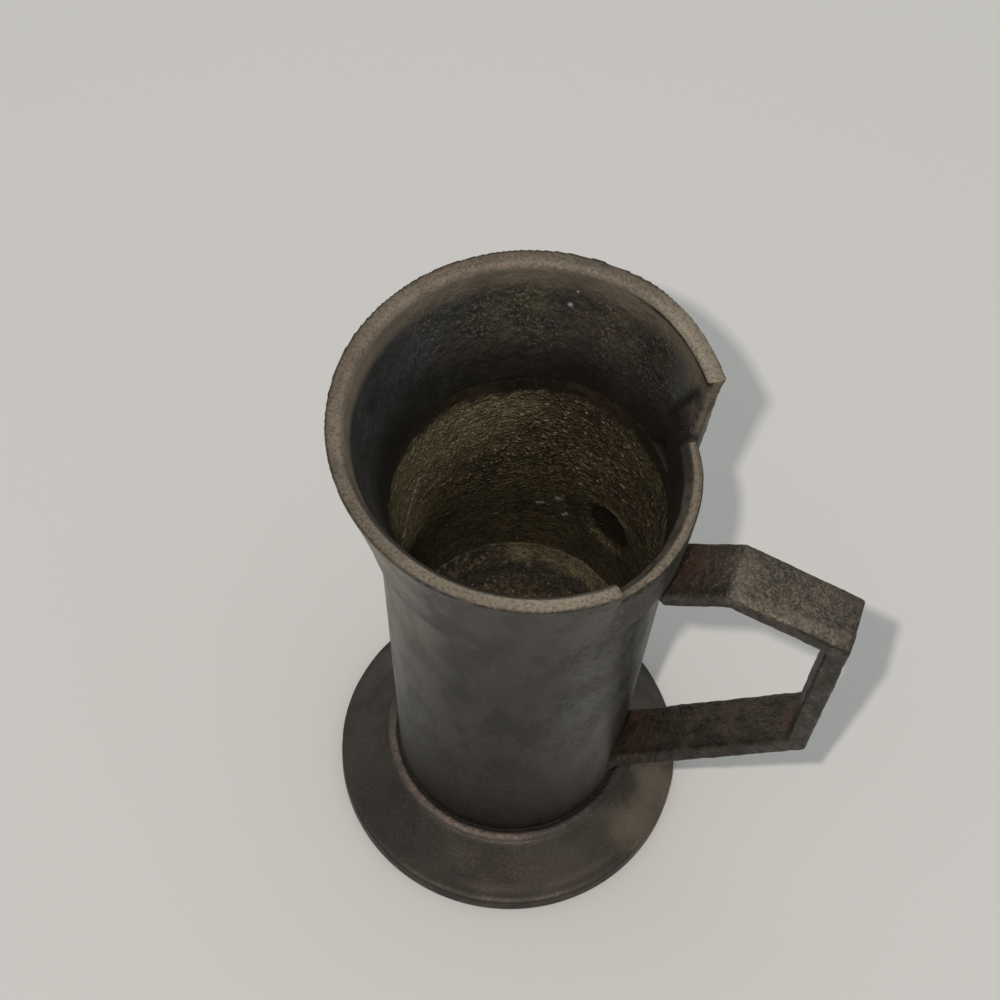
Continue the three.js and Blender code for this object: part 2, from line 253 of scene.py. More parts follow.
def close_mesh():
    """Merges doubles, turns the faces outwards and leaves edit mode."""
    bpy.ops.mesh.select_all(action="SELECT")
    bpy.ops.mesh.remove_doubles(threshold=MERGE)
    bpy.ops.mesh.normals_make_consistent(inside=False)
    bpy.ops.object.mode_set(mode="OBJECT")


def trace(name, points):
    """A chain of edges, extruded from one vertex, point by point. It stays in edit mode, all selected."""
    bpy.ops.object.select_all(action="DESELECT")
    bpy.ops.mesh.primitive_plane_add(size=MM)
    piece = bpy.context.object
    piece.name = name
    piece.data.name = name
    bpy.ops.object.mode_set(mode="EDIT")
    bpy.ops.mesh.select_all(action="SELECT")
    bpy.ops.mesh.merge(type="CENTER")
    bpy.ops.transform.translate(value=points[0])
    for start, end in zip(points, points[1:]):
        bpy.ops.mesh.extrude_vertices_move(TRANSFORM_OT_translate={"value": end - start})
    bpy.ops.mesh.select_all(action="SELECT")
    return piece


def turned(name, outline, steps, start=0, sweep=FULL_TURN):
    """A piece spun round the cup's axis from an outline of radius and height."""
    piece = trace(name, [around_axis(radius, start, height) for radius, height in outline])
    bpy.ops.mesh.spin(steps=steps, angle=-sweep, center=(AXIS_X, 0, 0), axis=(0, 0, 1))
    bpy.ops.mesh.select_all(action="SELECT")
    bpy.ops.mesh.remove_doubles(threshold=MERGE)
    bpy.ops.mesh.fill_holes(sides=0)
    close_mesh()
    return piece


def hull(name, corners):
    """A closed lump with flat faces between its outermost corners."""
    piece = trace(name, corners)
    bpy.ops.mesh.convex_hull()
    close_mesh()
    return piece


def apply_modifier(piece, kind, **settings):
    modifier = piece.modifiers.new(kind, kind)
    for key, value in settings.items():
        setattr(modifier, key, value)
    pick(piece)
    bpy.ops.object.modifier_apply(modifier=modifier.name)


def evened(piece, voxel, passes):
    """Gives the surface even faces of a size in millimetres and smooths it."""
    apply_modifier(piece, "REMESH", mode="VOXEL", voxel_size=voxel * MM)
    apply_modifier(piece, "SMOOTH", factor=0.5, iterations=passes)


def pull(piece, spot, move, reach, falloff):
    """Moves the vertex nearest to a spot and takes the surface round it along."""
    nearest = min(piece.data.vertices, key=lambda v: (v.co - spot).length).index
    pick(piece)
    bpy.ops.object.mode_set(mode="EDIT")
    bpy.ops.mesh.select_all(action="DESELECT")
    bpy.ops.object.mode_set(mode="OBJECT")
    piece.data.vertices[nearest].select = True
    bpy.ops.object.mode_set(mode="EDIT")
    bpy.ops.transform.translate(
        value=move, use_proportional_edit=True, use_proportional_connected=True,
        proportional_edit_falloff=falloff, proportional_size=reach)
    bpy.ops.object.mode_set(mode="OBJECT")


def mark(piece, name, test):
    """A vertex group of the vertices that pass a test."""
    group = piece.vertex_groups.new(name=name)
    group.add([vertex.index for vertex in piece.data.vertices if test(vertex)], 1.0, "REPLACE")
    return name


def faces_axis(vertex):
    return vertex.normal.dot(Vector((vertex.co.x - AXIS_X, vertex.co.y, 0))) < 0


def roughen(piece, name, lump, depth, group="", pitted=False):
    """Moves the surface by a depth, in waves or round pits of a size. Both are in millimetres."""
    texture = bpy.data.textures.new(name, "CLOUDS")
    texture.noise_scale = lump * MM
    texture.noise_depth = 0 if pitted else 2
    texture.noise_basis = "VORONOI_F1" if pitted else "ORIGINAL_PERLIN"
    apply_modifier(
        piece, "DISPLACE", texture=texture, texture_coords="LOCAL", strength=depth * MM, mid_level=0.5,
        vertex_group=group)


def dress(piece, node, material):
    """Puts a finished piece in the place of its solid."""
    piece.data.materials.clear()
    piece.data.materials.append(material)
    pick(piece)
    bpy.ops.object.shade_smooth_by_angle(angle=SMOOTH_ANGLE)
    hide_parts(node)
    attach(piece, "root")


# Finishes


class Finish:
    """Nodes of one finish. Its place socket is in millimetres from the foot of the cup's axis.

    A mask is a number, a socket, or a value with the levels where the mask is 0 and where it is 1.
    """

    def __init__(self, name, colours):
        self.colours = colours
        self.material = bpy.data.materials.new(name)
        self.material.use_nodes = True
        self.tree = self.material.node_tree
        here = self.add("TexCoord")["Object"]
        to_mm = {"Vector": here, "Location": (-AXIS_X / MM, 0, 0), "Scale": (1 / MM, 1 / MM, 1 / MM)}
        self.place = self.add("Mapping", to_mm)["Vector"]
        split = self.add("SeparateXYZ", {"Vector": self.place})
        self.height = split["Z"]
        flat = self.add("CombineXYZ", {"X": split["X"], "Y": split["Y"]})["Vector"]
        self.radius = self.add("VectorMath", {0: flat}, operation="LENGTH")["Value"]
        self.outward = self.add("VectorMath", {0: flat}, operation="NORMALIZE")["Vector"]
        normal = self.add("NewGeometry")["Normal"]
        self.upward = self.add("SeparateXYZ", {"Vector": normal})["Z"]
        facing = self.add("VectorMath", {0: self.outward, 1: normal}, operation="DOT_PRODUCT")["Value"]
        self.inside = self.product((facing, EDGE_ON, -EDGE_ON))
        bays = {"Vector": self.place, "Scale": 1 / DRIFT_LUMP, "Detail": CLOUD_DETAIL}
        drift = {0: self.add("TexNoise", bays)["Color"], 1: (0.5, 0.5, 0.5)}
        drift = self.add("VectorMath", drift, operation="SUBTRACT")["Vector"]
        ragged = {0: drift, 1: (DRIFT, DRIFT, DRIFT), 2: self.place}
        self.ragged = self.add("VectorMath", ragged, operation="MULTIPLY_ADD")["Vector"]

    def add(self, kind, inputs=(), **settings):
        """Outputs of a new node with its settings, and with its inputs set or linked."""
        made = self.tree.nodes.new("ShaderNode" + kind)
        for key, value in settings.items():
            setattr(made, key, value)
        self.wire(made, dict(inputs))
        return made.outputs

    def wire(self, node, inputs):
        """Sets inputs to values or named colours, and links them to sockets."""
        for key, value in inputs.items():
            if isinstance(value, bpy.types.NodeSocket):
                self.tree.links.new(value, node.inputs[key])
            else:
                named = isinstance(value, str)
                node.inputs[key].default_value = getattr(self.colours, value) if named else value

    def product(self, *masks):
        """All masks multiplied."""
        total = None
        for mask in masks:
            if isinstance(mask, tuple):
                value, none, full = mask
                (low, least), (high, most) = sorted([(none, 0.0), (full, 1.0)])
                limits = {"Value": value, "From Min": low, "From Max": high, "To Min": least, "To Max": most}
                mask = self.add("MapRange", limits, interpolation_type="SMOOTHSTEP")["Result"]
            total = mask if total is None else self.add("Math", {0: total, 1: mask}, operation="MULTIPLY")[0]
        return total

    def graded(self, least, most, *masks):
        """A number that goes from least where the masks are 0 to most where they are 1."""
        limits = {"Value": self.product(*masks), "To Min": least, "To Max": most}
        return self.add("MapRange", limits, interpolation_type="SMOOTHSTEP")["Result"]

    def clouds(self, size, low=0.3, high=0.7, stretch=(1, 1, 1)):
        """Cloudy mask with lumps of a size in millimetres."""
        drawn = self.add("Mapping", {"Vector": self.place, "Scale": stretch})["Vector"]
        noise = self.add("TexNoise", {"Vector": drawn, "Scale": 1 / size, "Detail": CLOUD_DETAIL})["Fac"]
        return noise, low, high

    def grains(self, size, core, edge):
        """Mask of round grains with a size in millimetres. Core and edge are shares of that size.

        Real grains of sand are about 0.3 mm, too fine to show, so they are drawn two or three times as wide.
        """
        cells = self.add("TexVoronoi", {"Vector": self.place, "Scale": 1 / size})["Distance"]
        return cells, edge, core

    def near(self, *spots, crisp=False):
        """Mask round places given as x, y, height and reach in millimetres, ragged unless it is crisp."""
        strongest = 0.0
        for *spot, reach in spots:
            around = {0: self.place if crisp else self.ragged, 1: spot}
            away = self.add("VectorMath", around, operation="DISTANCE")["Value"]
            here = self.product((away, reach, MARK_CORE * reach))
            strongest = self.add("Math", {0: strongest, 1: here}, operation="MAXIMUM")[0]
        return strongest

    def along(self, start, end, reach, crisp=False):
        """Mask round a line between two places in millimetres, ragged unless it is crisp."""
        here = self.place if crisp else self.ragged
        way = Vector(end) - Vector(start)
        offset = self.add("VectorMath", {0: here, 1: start}, operation="SUBTRACT")["Vector"]
        project = {0: offset, 1: way / way.length_squared}
        share = self.add("VectorMath", project, operation="DOT_PRODUCT")["Value"]
        share = self.add("Clamp", {"Value": share})["Result"]
        nearest = self.add("VectorMath", {0: share, 1: way, 2: start}, operation="MULTIPLY_ADD")["Vector"]
        away = self.add("VectorMath", {0: here, 1: nearest}, operation="DISTANCE")["Value"]
        return away, reach, MARK_CORE * reach

    def side(self, degrees, reach):
        """Mask up one side of the cup, at an angle from the handle, that fades over a reach in degrees."""
        aim = {0: self.outward, 1: outward(math.radians(degrees))}
        level = self.add("VectorMath", aim, operation="DOT_PRODUCT")["Value"]
        return level, math.cos(math.radians(reach)), 1

    def layers(self, colour, *rows):
        """A colour with others laid over it. A row has a colour, its share and the masks that limit it."""
        for upper, share, *masks in rows:
            mixed = {MIX_SHARE: self.product(*masks, share), MIX_UNDER: colour, MIX_OVER: upper}
            colour = self.add("Mix", mixed, data_type="RGBA")[MIX_RESULT]
        return colour

    def done(self, colour, metallic, roughness, *relief):
        """The material. A row of relief has a height in millimetres and the masks that it follows."""
        bump = {"Strength": 1.0}
        for height, *masks in relief:
            bump["Height"] = self.product(*masks)
            bump["Distance"] = height * MM
            bump["Normal"] = self.add("Bump", bump)["Normal"]
        looks = {
            "Base Color": colour, "Metallic": metallic, "Roughness": roughness, "Normal": bump["Normal"]}
        self.wire(self.tree.nodes["Principled BSDF"], looks)
        return self.material


def tarnish_specks(finish):
    """Pale and dark specks. Real ones, under 0.1 mm, are too fine to show, so these are 0.4 mm wide."""
    pale = finish.clouds(0.4, 0.52, 0.78, UPRIGHT)
    dark = finish.clouds(0.5, 0.5, 0.75, UPRIGHT)
    return ("pale", 0.16, pale), ("grime", 0.25, dark)


def tube_finish(colours):
    """Cast brass, tarnished nearly black: satin and softly clouded outside, olive and sandy inside."""
    finish = Finish("Tarnished cast brass, tube", colours)
    clouds, grains, near = finish.clouds, finish.grains, finish.near
    along, side, height = finish.along, finish.side, finish.height

    # Painted sheen up the tube's left side: cool all the way down, and stronger and paler higher up.
    left = side(-136, 34)
    sheen = left, (height, 46, 64)
    # Painted shade: a dark reflection laid on down the front middle of the tube.
    middle = side(-95, 55), (height, 78, 62)
    rubbed = near((13.5, -13.5, 55, 8), (14.3, -11.3, 39, 9), (16.3, -6.4, 24, 8))
    handled = side(-28, 36), (height, 36, 46)
    strokes = (
        ((18.1, -7.6, 74.5), (15.5, -12.2, 76)), ((17.6, -8.2, 69.3), (16.5, -9.5, 61)),
        ((18.2, -5.4, 58.2), (17.3, -7.2, 51)))
    # Painted shadow on the tube just under the collar's lip.
    painted_shadow_under_lip = (height, 80, 81.2), side(-120, 80)
    scuffs = side(-84, 60), (height, 36, 20), (height, 12, 20), clouds(3, 0.35, 0.65)
    patchy = side(75, 120), clouds(6, 0.45, 0.65, UPRIGHT)
    skin = finish.layers(
        "outside",
        ("stain", 0.25, clouds(10, 0.4, 0.65, UPRIGHT)),
        ("cool", 0.12, clouds(7, 0.5, 0.7, UPRIGHT)),
        ("cool", 0.4, left),
        ("cool", 0.6, *sheen),
        ("pale", 0.3, *sheen),
        ("grime", 0.72, *middle),
        # Painted shade low on the front left, the lower end of the dark reflection.
        ("grime", 0.35, near((-8, -15, 34, 11))),
        ("cool", 0.45, rubbed, clouds(3, 0.4, 0.65, UPRIGHT)),
        ("grime", 0.5, *handled, clouds(1, 0.46, 0.62)),
        ("cool", 0.6, *handled, clouds(0.9, 0.46, 0.66)),
        *[("grime", 0.75, along(*ends, 2.6), clouds(1.3, 0.36, 0.56)) for ends in strokes],
        ("grime", 0.6, *painted_shadow_under_lip),
        ("pale", 0.2, *scuffs, clouds(0.4, 0.44, 0.7)),
        ("cool", 0.3, *patchy),
        ("grime", 0.5, (height, 16, 11)),
        *tarnish_specks(finish))

    # Bright grains high on the crust: partly the grains' own colour, partly painted glints.
    shine = grains(0.85, 0.12, 0.4), clouds(1.6, 0.36, 0.52), (height, 54, 68)
    lit = near(
        (-17.5, 4, 74, 14), (-18, -3, 70, 13), (-17.5, 1, 62, 9), (-14, 11, 76, 12), (-9, 15.5, 77, 7))
    dim = near((5, 17, 78, 9), (13, 12.5, 74, 12), (17, 6, 68, 12))
    sparks = grains(1.7, 0.06, 0.2), clouds(6, 0.44, 0.6)
    scratch = along((-17.1, 5.7, 70.8), (-17.7, -0.4, 61), 0.8, crisp=True)
    flecks = near(
        (-2.9, 17, 52.7, 0.6), (-2.4, 17, 52.9, 0.5), (-0.3, 17.4, 55, 0.6), (0.3, 17.4, 55.1, 0.6),
        (0.9, 17.2, 50.9, 0.5), (1.3, 17.2, 51.5, 0.5), crisp=True)
    # Painted shade in the pit.
    hole = near((8.3, 16, PIT_HEIGHT, PIT_REACH), crisp=True)
    # Painted highlight along the pit's upper brim.
    brim = along((7.2, 16, 58.6), (10.4, 14.1, 59.4), 1.4, crisp=True)
    # Painted shade in a ragged band on the tube's inner wall, just below the collar's throat.
    brow = finish.add("SeparateXYZ", {"Vector": finish.ragged})["Z"], 80.4, 82.4
    brown_brow = near((-13, 12.8, 83, 6), (4, 18, 84, 8)), clouds(1.2, 0.35, 0.6), brow
    crust = finish.layers(
        "crust",
        ("grime", 0.55, clouds(6, 0.45, 0.7)),
        ("rust", 0.5, near((1, 17.6, 74, 11), (10, 14.5, 68, 9))),
        ("grime", 0.42, (height, 68, 52)),
        ("grime", 0.65, clouds(0.7, 0.46, 0.62)),
        ("grain", 0.95, *shine),
        ("crust", 0.5, lit),
        ("grain", 0.22, lit),
        ("grain", 0.9, lit, grains(0.7, 0.1, 0.55)),
        ("grime", 0.2, dim),
        ("pale", 0.8, *sparks),
        ("fleck", 0.6, scratch, clouds(0.6, 0.32, 0.54)),
        ("fleck", 0.7, flecks),
        ("grime", 0.9, (hole, 0.05, 0.3)),
        ("grain", 0.6, brim, clouds(0.8, 0.3, 0.55)),
        ("grime", 0.88, brow),
        ("rust", 0.4, *brown_brow))

    colour = finish.layers(skin, (crust, 1, finish.inside))
    metallic = finish.graded(0.85, 0.35, finish.inside)
    gloss = finish.graded(0.42, 0.52, clouds(4, 0.35, 0.7, UPRIGHT))
    # The crust's relief thins out to this share towards the floor.
    least = 0.4
    thinning = {0: finish.product((height, 50, 66)), 1: 1 - least, 2: least}
    thinning = finish.add("Math", thinning, operation="MULTIPLY_ADD")[0]
    rough = finish.product(finish.inside, (height, 82.4, 80.8), thinning)
    return finish.done(
        colour, metallic, gloss, (0.25, clouds(1.6), rough), (0.26, grains(0.62, 0.12, 0.5), rough),
        (0.16, clouds(0.5), rough), (0.01, clouds(SKIN_GRAIN)))


def collar_finish(colours):
    """The same cast brass, worn bare and dull on its rim and low edge, mottled and grimy inside, with
    painted shade deep inside and in its creases, and a painted sheen up the left.
    """
    finish = Finish("Tarnished cast brass, collar", colours)
    clouds, near, along, side = finish.clouds, finish.near, finish.along, finish.side
    height, radius, upward = finish.height, finish.radius, finish.upward

    # Painted sheen up the collar's left side, in cool and pale colour.
    left = side(-133, 32)
    patchy = side(75, 120), clouds(6, 0.45, 0.65, UPRIGHT)
    # Painted shade on the lower front of the collar, towards the lip.
    front = near((0, -21, 82, 13), (12, -18, 82, 10), (-12, -17, 82, 10))
    handled = side(-28, 36)
    skin = finish.layers(
        "outside",
        ("stain", 0.25, clouds(10, 0.42, 0.66, UPRIGHT)),
        ("cool", 0.9, left),
        ("pale", 0.48, left, (height, 82, 95)),
        ("cool", 0.3, *patchy),
        ("stain", 0.6, front, (height, 94, 82)),
        ("grime", 0.4, handled, clouds(1, 0.46, 0.62)),
        ("pale", 0.25, handled, clouds(0.8, 0.5, 0.66)),
        *tarnish_specks(finish))

    back = near((-17, 15, 97, 12), (-9, 21, 95, 16), (7, 20, 96, 15), (17, 13, 97, 10))
    olive = near((-7, 20.5, 95, 11), (6, 20, 97, 8))
    brown = near((2, 22, 99, 7), (-13.8, 15.6, 91, 7), (9, 18, 88, 6))
    dust = clouds(0.4, 0.52, 0.66), clouds(5, 0.3, 0.6), back
    # Painted shade deeper in the collar, towards the tube.
    deep = (height, 95, 87.5), clouds(9, 0.15, 0.45)
    facet = near((18.3, 12.8, 97.4, 2.6), (14.8, -16.3, 97, 2.6))
    # Painted shade along the crease at the flare's far end, and in the corner of the low wall below it.
    crease = along((17.9, 14, 100.5), (14.6, 15, 92), 1.3, crisp=True)
    corner = near((16.2, 13.7, 92.6, 2.4), crisp=True)
    soft = near((-18, 16, 103, 12), (-8, 23, 103, 12), (4, 24, 103, 12), (14, 20, 103, 12))
    soft_left = (height, 99.8, 101.8), side(-160, 62)
    groove = (height, 102.9, 103.2), near((12, 21, 102, 10), (19, 15, 102, 9))
    flecks = near(
        (-2.4, 22.5, 97.9, 0.6), (-2.1, 22.5, 97.4, 0.5), (-3.9, 19.9, 88.4, 0.45), (-2.2, 20.4, 89.6, 0.4),
        (-17.4, 11, 89.7, 0.45), (-15.4, 13.4, 89.1, 0.45), (5.3, 20.3, 91.3, 0.45),
        (-1.7, 23.1, 100.3, 0.35), crisp=True)
    low_bevel = (upward, 0.42, 0.56), (height, 91.2, 91.6), (height, 93.2, 92.8)
    lining = finish.layers(
        "outside",
        ("bluish", 0.8, near((-20, 8, 96, 15), (-21, -5, 96, 16))),
        ("crust", 0.5, olive, clouds(4, 0.35, 0.6)),
        ("rust", 0.4, brown, clouds(3, 0.4, 0.6)),
        ("grime", 0.35, clouds(5, 0.4, 0.65)),
        ("grime", 0.45, clouds(0.55, 0.42, 0.62)),
        ("pale", 0.45, *dust),
        ("grime", 0.3, near((8, 20.5, 95, 6))),
        ("grime", 0.82, *deep),
        ("cool", 0.45, near((15.4, 15.8, 98.5, 6))),
        ("worn", 0.5, near((16.8, 15.2, 101.4, 4))),
        ("warm", 0.6, facet),
        ("grime", 0.85, crease),
        ("grime", 0.85, corner),
        ("worn", 0.8, (height, 99, 102.6), soft),
        ("pale", 0.75, *soft_left),
        ("grime", 0.9, *groove),
        ("fleck", 1, flecks),
        ("worn", 0.45, *low_bevel, clouds(1.5, 0.2, 0.6)),
        # Painted shade on the low wall's inner face near the flare's far end.
        ("grime", 0.7, near((19, 8.5, 92, 6))))

    outer_edge = radius, 25.7, 26
    # Painted shade on the front of the rim's inner bevel.
    inner_edge = (radius, 24.55, 24.2), side(-95, 70)
    tip_edge = along((20.8, 14.6, 104), (17.9, 18.1, 104), 0.5, crisp=True)
    bare = finish.layers(
        "worn",
        ("rust", 0.35, near((-14, 20, 104, 14), (-24, 0, 104, 12))),
        ("pale", 0.9, near((16, 18, 104, 13), (10, -22, 104, 11))),
        ("stain", 0.25, near((-16, -18, 104, 12), (1, 25, 104, 13))),
        ("stain", 0.45, clouds(0.42, 0.44, 0.66)),
        ("pale", 0.5, clouds(0.4, 0.52, 0.72)),
        ("stain", 0.35, clouds(4, 0.5, 0.75)),
        ("grime", 0.6, outer_edge),
        ("grime", 0.9, *inner_edge),
        ("grime", 0.7, tip_edge))

    rim = finish.product((height, 103, 103.3), (upward, 0.35, 0.6))
    low_edge = finish.product((height, 92.2, 92.6), (upward, 0.72, 0.86), (radius, 20.7, 21))
    top = finish.add("Math", {0: rim, 1: low_edge}, operation="MAXIMUM")[0]
    ends = ((19.9, 14, 103.5), (18.8, 11.6, 95)), ((17.2, -18.4, 103.5), (15.8, -14.6, 94))
    worn_ends = [("worn", 0.75, along(*end, 1.4, crisp=True), clouds(0.9, 0.3, 0.55)) for end in ends]
    colour = finish.layers(skin, (lining, 1, finish.inside), *worn_ends, (bare, 1, top))
    metallic = finish.graded(0.85, 0.4, finish.inside)
    gloss = finish.graded(0.42, 0.54, clouds(4, 0.35, 0.7, UPRIGHT))
    # Bare metal is duller by this much.
    dulling = 0.16
    gloss = finish.add("Math", {0: top, 1: dulling, 2: gloss}, operation="MULTIPLY_ADD")[0]
    return finish.done(
        colour, metallic, gloss, (0.12, clouds(1.2), finish.inside, back), (0.025, clouds(SKIN_GRAIN)))


def foot_finish(colours):
    """Cast brass with an even grey-brown tarnish, rubbed in specks where the foot is touched."""
    finish = Finish("Tarnished cast brass, foot", colours)
    clouds, near, radius = finish.clouds, finish.near, finish.radius
    rubbed = near((8.2, -20.9, 6.6, 5), (5, -23.5, 4, 4), (0.9, -21.3, 7.6, 4))
    # Painted highlight along the front of the foot's shoulder.
    ring = (radius, 23.8, 24.6), (radius, 25.4, 24.8), near((17, -17, 4, 9), (6, -24, 4, 9))
    colour = finish.layers(
        "foot",
        ("stain", 0.45, clouds(8, 0.42, 0.66)),
        # Painted light on the foot's right and front right, in warm colour.
        ("warm", 0.75, near((22.5, -6, 5, 8), (24.5, 1, 5, 8))),
        ("warm", 0.2, near((15, -18, 6, 9))),
        ("stain", 0.5, near((-14, -19, 5, 13))),
        ("rust", 0.12, rubbed),
        ("pale", 0.14, rubbed, clouds(0.45, 0.5, 0.66)),
        ("warm", 0.3, *ring),
        ("grime", 0.35, (finish.height, 3.2, 2.2)),
        # Painted shadow of the handle's lower arm, on the foot beside its root.
        ("grime", 0.6, near((19.3, -3, 9.5, 6))),
        ("pale", 0.16, clouds(0.4, 0.54, 0.78)),
        ("grime", 0.25, clouds(0.6, 0.54, 0.75)))
    gloss = finish.graded(0.47, 0.58, clouds(4, 0.35, 0.7))
    return finish.done(colour, 0.8, gloss, (0.02, clouds(1.1)), (0.015, clouds(SKIN_GRAIN)))


def floor_finish(colours):
    """Rough brass floor with a dark olive crust and sandy specks."""
    finish = Finish("Crusted brass, floor", colours)
    clouds, grains = finish.clouds, finish.grains
    colour = finish.layers(
        "crust",
        ("rust", 0.4, clouds(4, 0.35, 0.6)),
        ("grime", 0.75, clouds(0.8, 0.36, 0.58)),
        ("grime", 0.6, (finish.radius, 8, 13)),
        ("grain", 0.4, grains(0.8, 0.08, 0.3)),
        ("pale", 0.7, grains(1.4, 0.04, 0.2), clouds(3, 0.45, 0.6)))
    return finish.done(colour, 0.45, 0.8, (0.2, clouds(1.5)), (0.15, grains(0.7, 0.1, 0.5)))


def handle_finish(colours):
    """Forged brass bar: its worn slope finely mottled pale and dark, red-brown oxide at the roots."""
    finish = Finish("Tarnished forged brass, handle", colours)
    clouds, near, along, upward = finish.clouds, finish.near, finish.along, finish.upward
    # Warm mottling along the lower arm, which also lightens it as painted light.
    arm = along((26, 0, 31), (40, 0, 45), 8)
    red = near((22, 1, 79, 6), (20, 0, 23, 8), (42.5, 0, 47, 4))
    slope = near((29, 0, 83, 6), (34, 0, 82, 7), (39, 0, 80, 7), (44, 0, 78.5, 6)), (upward, 0.3, 0.7)
    worn_edge = along((29, -3.8, 83), (44, -3, 79), 1.7)
    edge_line = along((39, -4.4, 80.2), (46, -4.4, 78.3), 0.8, crisp=True)
    flanks = upward, 0.45, 0.15
    shades = ((21, -4.4, 77), (27, -4.4, 80.5), 2.6), ((22, -4.4, 24), (40, -4.4, 43), 3)
    colour = finish.layers(
        "handle",
        ("stain", 0.45, clouds(3.5, 0.42, 0.66, UPRIGHT)),
        ("warm", 0.55, arm, clouds(3)),
        ("warm", 0.8, near((22, 0, 79, 7))),
        ("rust", 0.7, red, clouds(3, 0.25, 0.5)),
        ("grime", 0.45, clouds(0.6, 0.5, 0.68, UPRIGHT)),
        ("pale", 0.46, *slope, clouds(0.36, 0.36, 0.64)),
        ("stain", 0.45, *slope, clouds(1.3, 0.45, 0.65)),
        ("grime", 0.5, *slope, clouds(0.45, 0.52, 0.64)),
        ("pale", 0.2, near((29, 0, 83.4, 4))),
        ("pale", 0.5, worn_edge, clouds(0.5, 0.3, 0.6)),
        ("grime", 0.8, edge_line),
        ("pale", 0.25, clouds(0.4, 0.55, 0.78, UPRIGHT)),
        ("stain", 0.75, flanks, clouds(2, 0.3, 0.62, UPRIGHT)),
        ("warm", 0.35, flanks, clouds(0.7, 0.5, 0.7, UPRIGHT)),
        ("stain", 0.35, near((46, 0, 76, 8))),
        *[("grime", 0.45, along(*shade)) for shade in shades])
    gloss = finish.graded(0.47, 0.62, clouds(3, 0.35, 0.7))
    return finish.done(
        colour, 0.75, gloss, (0.1, clouds(1, stretch=UPRIGHT)), (0.04, clouds(SKIN_GRAIN, stretch=UPRIGHT)))


def bead_finish(colours):
    """Dull hard solder, tarnished like the foot, with painted light making it reddish and lighter at the
    front.
    """
    finish = Finish("Hard solder, reddish", colours)
    clouds, near, radius = finish.clouds, finish.near, finish.radius
    # Painted light: the reddish solder colour is laid on only at the front of the bead.
    front = near((-10, -15.5, 11, 9), (-2, -18.5, 11, 8), (5, -17.8, 11, 6), (-16.5, -8, 11, 7))
    bare = front, (radius, 19.1, 18.7)
    colour = finish.layers(
        "foot",
        ("stain", 0.4, clouds(5, 0.4, 0.65)),
        ("solder", 0.85, *bare),
        ("pale", 0.2, *bare, clouds(0.7, 0.45, 0.65)),
        # Painted shadow of the handle's lower arm on the bead.
        ("grime", 0.6, near((18.2, -4.5, 11, 7))),
        ("grime", 0.85, (radius, 18.1, 17.6)))
    return finish.done(colour, 0.6, 0.55, (0.05, clouds(1)), (0.02, clouds(SKIN_GRAIN)))


def root_finish(colours):
    """Hard solder round the handle's roots, run thin and red-brown under its tarnish."""
    finish = Finish("Hard solder, red-brown", colours)
    clouds = finish.clouds
    colour = finish.layers(
        "stain",
        ("rust", 0.35, clouds(2.6, 0.4, 0.62)),
        ("grime", 0.6, clouds(0.9, 0.4, 0.62)))
    return finish.done(colour, 0.6, 0.6, (0.12, clouds(1)), (0.03, clouds(SKIN_GRAIN)))


def fillet_finish(colours):
    """Hard solder under the olive crust, with a painted highlight along the far upper edge and painted shade
    below.
    """
    finish = Finish("Hard solder, olive", colours)
    clouds, grains, height = finish.clouds, finish.grains, finish.height
    # Painted highlight along the fillet's far upper edge.
    far = finish.near((-4, 15.4, 39.4, 3.5), (1, 16, 39.4, 4.5), (5, 15, 39.4, 4.5), (9, 12.6, 39, 3.5))
    edge = far, (height, 37.9, 39.1), clouds(1.8, 0.3, 0.6)
    colour = finish.layers(
        "crust",
        ("grime", 0.84, clouds(0.8, 0.22, 0.52)),
        ("grain", 0.25, grains(0.8, 0.08, 0.3)),
        ("crust", 0.75, *edge),
        ("grain", 0.2, *edge, clouds(0.8, 0.4, 0.6)),
        # Painted shade on the lower part of the fillet.
        ("grime", 0.75, (height, 38.4, 37.6), clouds(0.9, 0.25, 0.5)))
    return finish.done(colour, 0.45, 0.75, (0.2, clouds(1.2)), (0.12, grains(0.7, 0.1, 0.5)))


# Pieces


